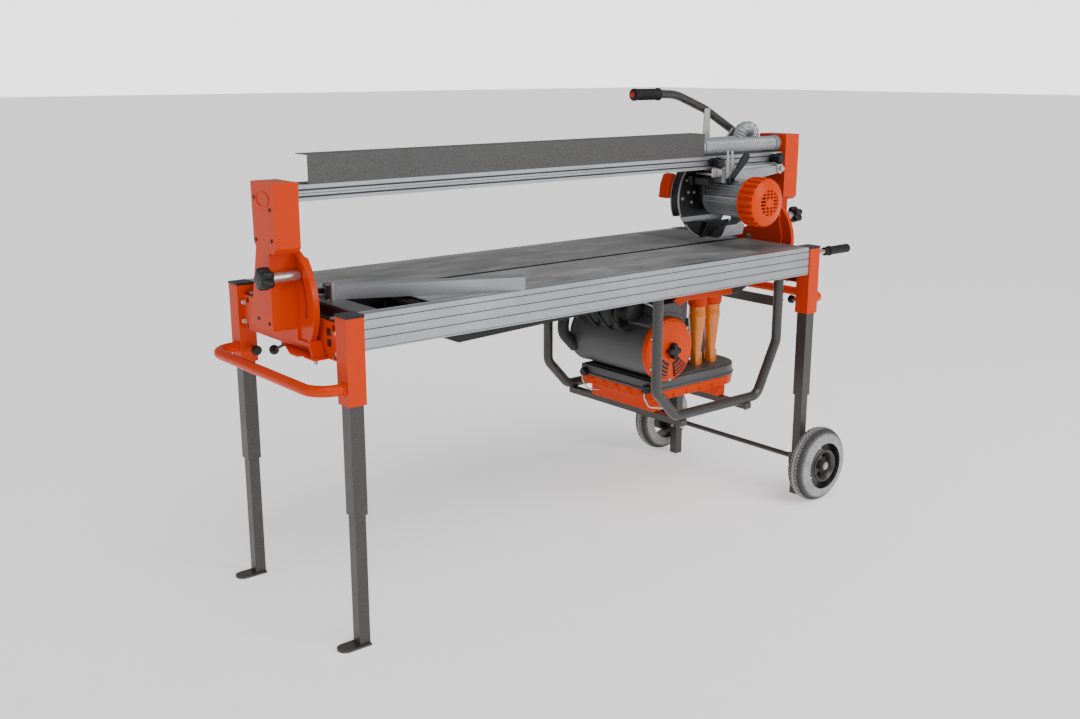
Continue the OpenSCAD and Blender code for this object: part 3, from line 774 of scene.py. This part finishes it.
def add_handle():
    y = 24
    bm = bmesh.new()
    path = [at(846, y, 1250), at(700, y, 1326), at(560, y, 1376), at(470, y, 1380)]
    sweep(bm, rounded_path(path, 220, 14), 14, 28)
    piece("handle_tube", bm, "grey_paint", "head", replaces=["plunge_handle"])
    bm = bmesh.new()
    prism(bm, [(672, 1060), (708, 1060), (708, 1180), (704, 1330), (680, 1330), (672, 1180)], "Y", 3, 9)
    prism(bm, [(706, 1100), (790, 1180), (856, 1236), (856, 1262), (820, 1262), (704, 1140)], "Y", 3.5, 9)
    piece("handle_bracket", bm, "zinc", "head", bevel=1)
    bm = bmesh.new()
    lathe(bm, (690, y - 20, 1312), "Y", [(0, 8), (8, 8)], 6)
    lathe(bm, (836, y - 20, 1250), "Y", [(0, 8), (8, 8)], 6)
    piece("handle_bolts", bm, "zinc", "head", bevel=0.5)
    bm = bmesh.new()
    outline = [(-3, 15.5), (0, 19.5), (6, 20), (10, 17.2)]
    outline += [(14 + 4 * k + s, 17.4 + (0.9 if s == 2 else 0)) for k in range(21) for s in (0, 2)]
    outline += [(102, 17.4), (106, 20.5), (112, 20.5), (114, 17), (117, 15)]
    lathe(bm, (364, y, 1379), "X", outline, 40)
    piece("grip_ribbed", bm, "grip_rubber", "head", replaces=["handle_grip"])
    bm = bmesh.new()
    lathe(bm, (358, y, 1379), "X", [(0, 7), (1, 9), (12, 9)], 32)
    piece("start_button_cap", bm, "red_plastic", "start_button", replaces=["start_button"])


def add_lift_handles():
    for name, y in (("front", -236), ("rear", 236)):
        body = f"{name}_lift_handle"
        bm = bmesh.new()
        lathe(bm, (805, y, 838), "X", [(0, 8), (1, 9), (246, 9)], 28)
        piece(f"{name}_lift_rod", bm, "zinc", body, replaces=[body])
        bm = bmesh.new()
        outline = [(0, 10), (1, 15), (8, 15), (12, 12), (20, 11.5), (24, 17), (30, 17.5), (34, 14.5)]
        outline += [(40 + 6 * k + s, 14.6 + (0.8 if s == 3 else 0)) for k in range(14) for s in (0, 3)]
        outline += [(126, 15.5), (131, 15.5), (135, 12)]
        lathe(bm, (1050, y, 838), "X", outline, 36)
        piece(f"{name}_lift_grip", bm, "grip_rubber", body)


def add_knobs():
    for name, side in (("left", -1), ("right", 1)):
        body = f"{name}_tilt_knob"
        bm = bmesh.new()
        star_knob(bm, (side * 1006, -120, 958), "X", 5, 21, 30, side * 34)
        lathe(bm, (side * 1004, -120, 958), "X", [(0, 15), (side * 4, 15)], 32)
        piece(f"{name}_clamp_knob", bm, "black_plastic", body, replaces=[body])
        bm = bmesh.new()
        lathe(bm, (side * 908, -120, 958), "X", [(0, 6), (side * 20, 6), (side * 20, 12.5), (side * 22, 13),
                                                 (side * 97, 13)], 32)
        piece(f"{name}_clamp_sleeve", bm, "zinc", body)
        bm = bmesh.new()
        lathe(bm, (side * 1039, -120, 958), "X", [(0, 10), (side * 0.9, 9)], 28)
        piece(f"{name}_clamp_cap", bm, "grey_plastic", body)
    bm = bmesh.new()
    for x in (572, 872):
        star_knob(bm, (x, -176, 1164), "Y", 6, 14, 18.5, 26)
        lathe(bm, (x, -150, 1164), "Y", [(0, 9), (19, 9)], 24)
        lathe(bm, (x, -144, 1164), "Y", [(0, 15), (12.5, 15)], 32)
    piece("roller_knobs", bm, "black_plastic", "carriage", replaces=["carriage_rollers"])
    bm = bmesh.new()
    star_knob(bm, (345, -216, 582), "Y", 4, 13, 27, 22)
    lathe(bm, (345, -194, 582), "Y", [(0, 11), (9, 11)], 28)
    piece("filter_star_knob", bm, "black_plastic", "filter_knob", replaces=["filter_knob"])


def add_levers():
    bm = bmesh.new()
    lathe(bm, (622, -176, 1104), "Y", [(0, 11), (2, 13), (13, 13)], 32)
    points = []
    for d, w in ((0, 9), (20, 7), (50, 10), (85, 13.5), (106, 13), (117, 7)):
        points.append((d, w))
    lean = math.radians(46)
    turn = lambda d, w: (622 + d * math.cos(lean) - w * math.sin(lean),
                         1104 + d * math.sin(lean) + w * math.cos(lean))
    outline = [turn(d, w) for d, w in points] + [turn(d, -w) for d, w in reversed(points)]
    prism(bm, outline, "Y", -176, -166)
    piece("plunge_lever_moulded", bm, "black_plastic", "plunge_lever", replaces=["plunge_lever"], bevel=3)
    bm = bmesh.new()
    lathe(bm, (-883, 60, 736), "Z", [(0, 9), (2, 11), (16, 11)], 28)
    lathe(bm, (-883, 60, 746), "Z", [(0, 7), (3, 7)], 24)
    sweep(bm, [at(-883, 64, 744), at(-883, 69, 738), at(-883, 122, 714)], 4, 16)
    bmesh.ops.create_uvsphere(bm, u_segments=32, v_segments=20, radius=14 * MM,
                              matrix=Matrix.Translation(at(-883, 129, 712)))
    piece("ball_lever_turned", bm, "black_plastic", "ball_lever", replaces=["ball_lever"])


def add_collector():
    x0, x1 = cad("vacuum_base")[0].x, cad("vacuum_base")[1].x
    z0 = 414

    def outline(grow):
        points = [(x0 - grow, -176 - grow)]
        points += arc(x1 - 116, -60, 116 + grow, -90, 0, 14) + arc(x1 - 116, 60, 116 + grow, 0, 90, 14)
        return points + [(x0 - grow, 176 + grow)]

    bm = bmesh.new()
    prism(bm, outline(-2), "Z", z0, z0 + 14)
    prism(bm, outline(0), "Z", z0 + 13, z0 + 32)
    for x in (330, 640):
        add_block(bm, (x - 18, -150, 370), (x + 18, 150, z0))
    for k in range(5):
        add_block(bm, (x0 + 30 + 62 * k, -178.5, z0 + 3), (x0 + 44 + 62 * k, -170, z0 + 26))
    for k in range(5):
        add_block(bm, (x0 - 2.5, -130 + 60 * k, z0 + 3), (x0 + 4, -116 + 60 * k, z0 + 26))
    piece("collector_base", bm, "orange_plastic", "frame", replaces=["vacuum_base"], bevel=2.5)
    bm = bmesh.new()
    prism(bm, outline(3), "Z", z0 + 32, z0 + 40)
    prism(bm, outline(-1), "Z", z0 + 39, z0 + 66)
    prism(bm, outline(-14), "Z", z0 + 65, z0 + 70)
    piece("collector_deck", bm, "grey_plastic", "frame", replaces=["vacuum_deck"], bevel=3)
    x, z = 345, 582
    bm = bmesh.new()
    outline_drum = [(-165, 92), (-165, 100), (-158, 100), (-156, 97)]
    outline_drum += [(-150 + 330 * k / 22 + s, 97 if s else 98.4) for k in range(22) for s in (0, 10)]
    outline_drum += [(180, 97), (183, 100), (190, 100), (190, 92)]
    lathe(bm, (x, 0, z), "Y", outline_drum, 96)
    piece("collector_drum", bm, "grey_plastic", "frame", replaces=["vacuum_drum"])
    # front cover: dished disc, rim, hub and slotted lower third
    bm = bmesh.new()
    lathe(bm, (x, 0, z), "Y", [(-166, 100), (-166, 105), (-178, 105), (-184, 102), (-186, 96), (-188, 94),
                               (-190, 60), (-192, 30), (-192, 8.2), (-185, 8.2)], 96, caps=False)
    piece("collector_cover", bm, "orange_plastic", "frame", replaces=["vacuum_front_cover"])
    # black sectors under the slats: painted shade inside the cover's slots
    bm = bmesh.new()
    for start, stop in ((218, 258), (282, 322)):
        prism(bm, arc(x, z, 92, start, stop, 14) + arc(x, z, 42, stop, start, 14), "Y", -193.5, -186)
    piece("cover_slot_shade", bm, "black_plastic", "frame", bevel=0.6)
    bm = bmesh.new()
    for start, stop in ((220, 256), (284, 320)):
        for reach in (54, 66, 78, 88):
            prism(bm, arc(x, z, reach + 1.6, start, stop, 12) + arc(x, z, reach - 1.6, stop, start, 12),
                  "Y", -195.2, -192.5)
    piece("vent_slats", bm, "orange_plastic", "frame", bevel=0.4)
    bm = bmesh.new()
    for angle in (-25, 40, 150, 210, 270):
        a = math.radians(angle)
        round_bolt(bm, (x + 98 * math.cos(a), -186, z + 98 * math.sin(a)), "Y", 5, -5)
    piece("cover_screws", bm, "zinc", "frame", bevel=0.3)
    # neck and manifold
    bm = bmesh.new()
    prism(bm, arc(x + 10, z + 20, 100, 140, 40, 10) + arc(x + 20, z, 101, 40, 140, 10), "Y", -160, 20)
    prism(bm, [(300, 670), (402, 666), (430, 700), (395, 728), (330, 728)], "Y", -158, 0)
    piece("collector_neck", bm, "grey_plastic", "frame", bevel=3)
    bm = bmesh.new()
    upper = [(678, 758)] + [(520, 761)] + [(455, 756), (410, 740), (372, 712), (352, 690)]
    lower = [(396, 676), (424, 706), (452, 722), (500, 722), (678, 720)]
    prism(bm, upper + lower, "Y", -148, -52)
    for px in (560, 632):
        lathe(bm, (px, -100, 690), "Z", [(0, 31), (2, 33), (33, 33)], 48)
        lathe(bm, (px, -100, 690), "Z", [(-4, 29.5), (0, 30.5)], 48)
    piece("manifold", bm, "orange_plastic", "frame", replaces=["cyclone_manifold"], bevel=4)
    bm = bmesh.new()
    for px in (560, 632):
        lathe(bm, (px, -100, 484), "Z", [(0, 17.5), (8, 17.5), (10, 15.5), (40, 16), (150, 27.5), (156, 28),
                                         (160, 29.5), (172, 29.5), (176, 28), (206, 28.5)], 56)
        for k in range(4):
            a = math.pi / 4 + math.pi * k / 2
            fin = [(px + r * math.cos(a) + w * math.sin(a), -100 + r * math.sin(a) - w * math.cos(a))
                   for r, w in ((10, 1.5), (21, 1.5), (21, -1.5), (10, -1.5))]
            prism(bm, fin, "Z", 486, 528)
    piece("amber_cones", bm, "amber_plastic", "frame", replaces=["cyclone_cones"])
    # tall fin behind the cones
    bm = bmesh.new()
    prism(bm, [(640, 484), (722, 484), (700, 600), (668, 606)], "Y", -30, 60)
    piece("collector_fin", bm, "grey_plastic", "frame", bevel=6)
    add_blower()


def add_blower():
    """Motor, shroud, straps and the small fittings over the drum."""
    bm = bmesh.new()
    prism(bm, [(228, 690), (240, 640), (262, 648), (300, 672), (304, 748), (236, 748)], "Y", -60, 150)
    add_block(bm, (304, 10, 676), (395, 40, 722))
    piece("blower_shroud", bm, "black_plastic", "frame", replaces=["vacuum_motor"], bevel=5)
    bm = bmesh.new()
    lathe(bm, (266, 0, 708), "Y", [(-104, 26), (-100, 34), (-62, 36), (-60, 36)], 48)
    for k in range(6):
        lathe(bm, (266, 0, 708), "Y", [(-98 + 6 * k, 37.5), (-96 + 6 * k, 37.5)], 48)
    piece("blower_motor", bm, "black_paint", "frame", bevel=0.5)
    bm = bmesh.new()
    lathe(bm, (330, -120, 700), "Y", [(-34, 7.5), (-30, 9), (20, 9)], 24)
    sweep(bm, rounded_path([at(300, -90, 735), at(318, -130, 722), at(330, -150, 700)], 14, 6), 4.5, 16)
    piece("blower_lever", bm, "zinc", "frame")
    bm = bmesh.new()
    for k in range(3):
        start = at(232, -40 + 70 * k, 730)
        route = [start, at(205 - 4 * k, -60 + 60 * k, 690), at(230, -80 + 60 * k, 640),
                 at(262, -90 + 70 * k, 640)]
        sweep(bm, rounded_path(route, 26, 8), 5, 14)
    piece("blower_leads", bm, "black_plastic", "frame")
    bm = bmesh.new()
    corrugated(bm, rounded_path([at(240, 120, 730), at(190, 150, 700), at(196, 170, 600),
                                 at(262, 180, 540)], 60, 10), 20, 8, 2.4, 24)
    piece("blower_hose", bm, "dark_hose", "frame")
    bm = bmesh.new()
    for x, y in ((285, 150), (285, -150)):
        lathe(bm, (x - 2, y, 455), "X", [(-16, 12), (-12, 15), (0, 15)], 32)
    piece("latch_knobs", bm, "black_plastic", "frame", bevel=0.8)
    bm = bmesh.new()
    for y in (150, -150):
        route = [at(272, y, 455), at(268, y, 430), at(282, y - 10, 396), at(318, y - 40, 392)]
        sweep(bm, rounded_path(route, 14, 6), 2.2, 12)
    piece("latch_wires", bm, "zinc", "frame")


def add_ends():
    """Bolts, plates, slots and stiffeners of the end beams, posts and sockets."""
    bolts, dark, orange = bmesh.new(), bmesh.new(), bmesh.new()
    for side in (-1, 1):
        for y in (-258, 258):
            for z in (775, 828):
                hex_bolt(bolts, (side * 902, y, z), "X", 6, side * 8)
        for y in (-283, 283):
            add_block(orange, (side * 866, y - 9 if y > 0 else y - 3, 760),
                      (side * 903, y + 3 if y > 0 else y + 9, 850))
        # slots drawn as thin black patches on the beam's face: painted shade inside the slots
        for y in (-240, 240):
            slot = [(y - 3, 757), (y + 3, 757), (y + 3, 770), (y - 3, 770)]
            prism(dark, slot, "X", side * 901.5, side * 902.6)
        for z in (796, 824):
            add_block(dark, (side * 901.8, -222, z - 9), (side * 903.2, -204, z + 9))
        # tilt stop: ledge, gusset and its screw
        prism(orange, [(side * 903, -150), (side * 955, -140), (side * 955, -100), (side * 903, 40)], "Z",
              753, 759)
        prism(orange, [(-196, 753), (-186, 753), (-170, 796), (-176, 796)], "X", side * 903, side * 940)
        add_block(orange, (side * 903, -206, 752), (side * 944, -150, 758))
        hex_bolt(bolts, (side * 925, -180, 752), "Z", 6, -14)
        lathe(bolts, (side * 925, -180, 758), "Z", [(0, 5), (14, 5)], 20)
    piece("beam_fasteners", bolts, "zinc", "frame", bevel=0.5)
    piece("beam_slots", dark, "black_plastic", "frame")
    piece("beam_gussets", orange, "orange_paint", "frame", bevel=1.5)
    bm = bmesh.new()
    for side in (-1, 1):
        for y in (-1, 1):
            head = [(0, 12), (-y * 3, 14), (-y * 14, 14), (-y * 17, 11)]
            lathe(bm, (side * 882, y * 247, 690), "Y", head, 28)
    piece("leg_clamp_heads", bm, "black_plastic", "frame", bevel=0.6)
    for name, side, top in (("left", -1, 1192), ("right", 1, 1241)):
        bm = bmesh.new()
        for y, z in ((-122, top - 66), (-124, 1050), (-42, top - 40), (-40, 1046), (-30, 842), (-88, 836)):
            round_bolt(bm, (side * 1000, y, z), "X", 5, side * 2.5)
        piece(f"{name}_post_screws", bm, "black_paint", "tilting_rail", bevel=0.4)
        bm = bmesh.new()
        ring = lambda k: [(-84 + 36 * k * math.cos(a), top - 42 + 20 * k * math.sin(a))
                          for a in [2 * math.pi * i / 48 for i in range(48)]]
        outer, inner = ring(1.0), ring(0.86)
        for i in range(48):
            j = (i + 1) % 48
            quad = [outer[i], outer[j], inner[j], inner[i]]
            if side < 0:
                prism(bm, quad, "X", side * 1001.6, side * 999.5)
            else:
                prism(bm, quad, "X", side * 999.5, side * 1001.6)
        bmesh.ops.remove_doubles(bm, verts=bm.verts, dist=1e-6)
        piece(f"{name}_post_oval", bm, "orange_paint", "tilting_rail")
    bm = bmesh.new()
    for side in (-1, 1):
        prism(bm, [(-146, 952), (-120, 985), (-96, 985), (-90, 996), (-100, 1004), (-128, 1000), (-152, 966)],
              "X", side * 903, side * 914)
    piece("clamp_ears", bm, "orange_paint", "frame", bevel=3)


def add_groove_shadows():
    """Painted shade: dark strips on the floors of the long grooves in the table's edges and in the rail."""
    bm = bmesh.new()
    for z in (816, 840, 864):
        for y in (-1, 1):
            add_block(bm, (-862.5, y * 317.2 - 0.4, z + 0.2), (862.5, y * 317.2 + 0.4, z + 1.8))
    add_block(bm, (-862.5, -318.2, 791.5), (862.5, -317.5, 793))
    piece("edge_groove_painted_shade", bm, "groove_painted_shade", "frame")
    low, high = cad("rail")
    bm = bmesh.new()
    for z in (9, 26):
        add_block(bm, (low.x + 1, low.y + 1.4, low.z + z + 0.3), (high.x - 1, low.y + 2.8, low.z + z + 4.7))
    add_block(bm, (low.x + 1, low.y - 0.3, low.z + 19.4), (high.x - 1, low.y + 0.3, low.z + 20.6))
    piece("rail_groove_painted_shade", bm, "groove_painted_shade", "tilting_rail")


def add_wells():
    """Dark trays that close the gaps at the ends of the table, black as painted shade in the openings, with
    their pale slats.
    """
    bm = bmesh.new()
    add_block(bm, (-820, -284, 796), (-601, 6, 799))
    add_block(bm, (-820, 3, 799), (-601, 6, 873))
    for side, reach in ((-1, 266), (1, 222)):
        add_block(bm, (side * 863.5, -reach, 800), (side * 866, reach, 875))
        add_block(bm, (side * 865, -266, 849), (side * 893, 266, 852))
    piece("end_well_shade", bm, "black_paint", "frame", bevel=0.5)
    bm = bmesh.new()
    for side in (-1, 1):
        for y in (-246, -206, 196, 236):
            add_block(bm, (side * 866, y - 7, 852), (side * 892, y + 7, 858))
    piece("end_slats", bm, "cast_alloy", "frame", bevel=0.8)


def add_table_trim():
    bm = bmesh.new()
    for y in (-287, 287):
        add_block(bm, (-862, y - 1.2, TABLE_Z - 1.2), (862, y + 1.2, TABLE_Z + 0.6))
    piece("board_edging", bm, "extrusion", "frame")
    # toothed vent at the end of the front board
    bm = bmesh.new()
    add_block(bm, (-655, -283, TABLE_Z - 26), (-642, -36, TABLE_Z - 7))
    for k in range(16):
        add_block(bm, (-668, -280 + 15 * k, TABLE_Z - 20), (-655, -273 + 15 * k, TABLE_Z - 9))
    piece("board_end_rack", bm, "black_paint", "frame", bevel=1)


def add_fence_parts():
    """Black end clamp, swivel arm and knob of the fence, along the fence's own line."""
    turn = Matrix.Rotation(math.radians(-24.5), 4, "Z")
    origin = at(-828, -108, TABLE_Z)

    def placed(bm):
        for vert in bm.verts:
            vert.co = origin + turn @ (vert.co - at(0, 0, 0))
        return bm

    bm = bmesh.new()
    add_block(bm, (-16, -4, 2), (4, 46, 40))
    add_block(bm, (-10, 8, 3), (0, 34, 40.3))
    piece("fence_clamp", placed(bm), "black_plastic", "fence", bevel=3)
    bm = bmesh.new()
    path = [at(-8, 20, 36), at(-14, 60, 30), at(-8, 110, 22), at(20, 150, 10)]
    sweep(bm, rounded_path(path, 60, 8), 7, 16)
    piece("fence_arm", placed(bm), "black_paint", "fence")
    bm = bmesh.new()
    add_block(bm, (-34, 60, 1), (0, 130, 5))
    piece("fence_foot", placed(bm), "extrusion", "fence", bevel=1)
    bm = bmesh.new()
    star_knob(bm, (-20, 84, 5), "Z", 6, 8, 11, 12)
    piece("fence_knob", placed(bm), "black_plastic", "fence")


def add_carriage_parts():
    bm = bmesh.new()
    for x in (612, 636):
        prism(bm, [(x - 8, 1112), (x + 10, 1112), (x + 8, 1180), (x + 2, 1204), (x - 6, 1200), (x - 6, 1160)],
              "Y", -166 + (x - 612) * 0.1, -163.5 + (x - 612) * 0.1)
    piece("lock_fork", bm, "cast_alloy", "head", bevel=1)
    bm = bmesh.new()
    add_block(bm, (575, -156, 1122), (700, -150.5, 1140))
    for x in (590, 660, 700, 740, 800, 850):
        round_bolt(bm, (x, -150, 1128), "Y", 5, -5)
    piece("carriage_screws", bm, "zinc", "carriage", bevel=0.5)
    bm = bmesh.new()
    hex_bolt(bm, (878, -166, 1131), "Y", 9, -12)
    lathe(bm, (878, -163, 1131), "Y", [(-3, 17), (0, 17)], 32)
    piece("plunge_pin_nut", bm, "zinc", "carriage", bevel=0.6)
    bm = bmesh.new()
    prism(bm, [(556, 1086), (600, 1086), (612, 1050), (628, 1050), (622, 1100), (640, 1116), (556, 1116)],
          "Y", -60, -44)
    add_block(bm, (566, -120, 1088), (596, -60, 1112))
    lathe(bm, (583, -90, 1060), "Z", [(0, 8), (30, 8)], 20)
    lathe(bm, (583, -90, 1056), "Z", [(0, 12), (8, 12)], 20)
    piece("head_linkage", bm, "black_paint", "head", bevel=2)


def main():
    make_materials()
    add_camera()
    add_studio()
    finish_cad_nodes()
    add_grab_tubes()
    add_cage()
    for name, y in (("front", -375), ("rear", 375)):
        add_tyre(name, y, f"{name}_wheel")
        add_rim(name, y, f"{name}_wheel")
    add_axle_blocks()
    add_hoses()
    add_motor()
    add_guard_details()
    add_blade()
    add_lower_guard()
    add_handle()
    add_lift_handles()
    add_knobs()
    add_levers()
    add_collector()
    add_ends()
    add_groove_shadows()
    add_wells()
    add_table_trim()
    add_fence_parts()
    add_carriage_parts()


main()
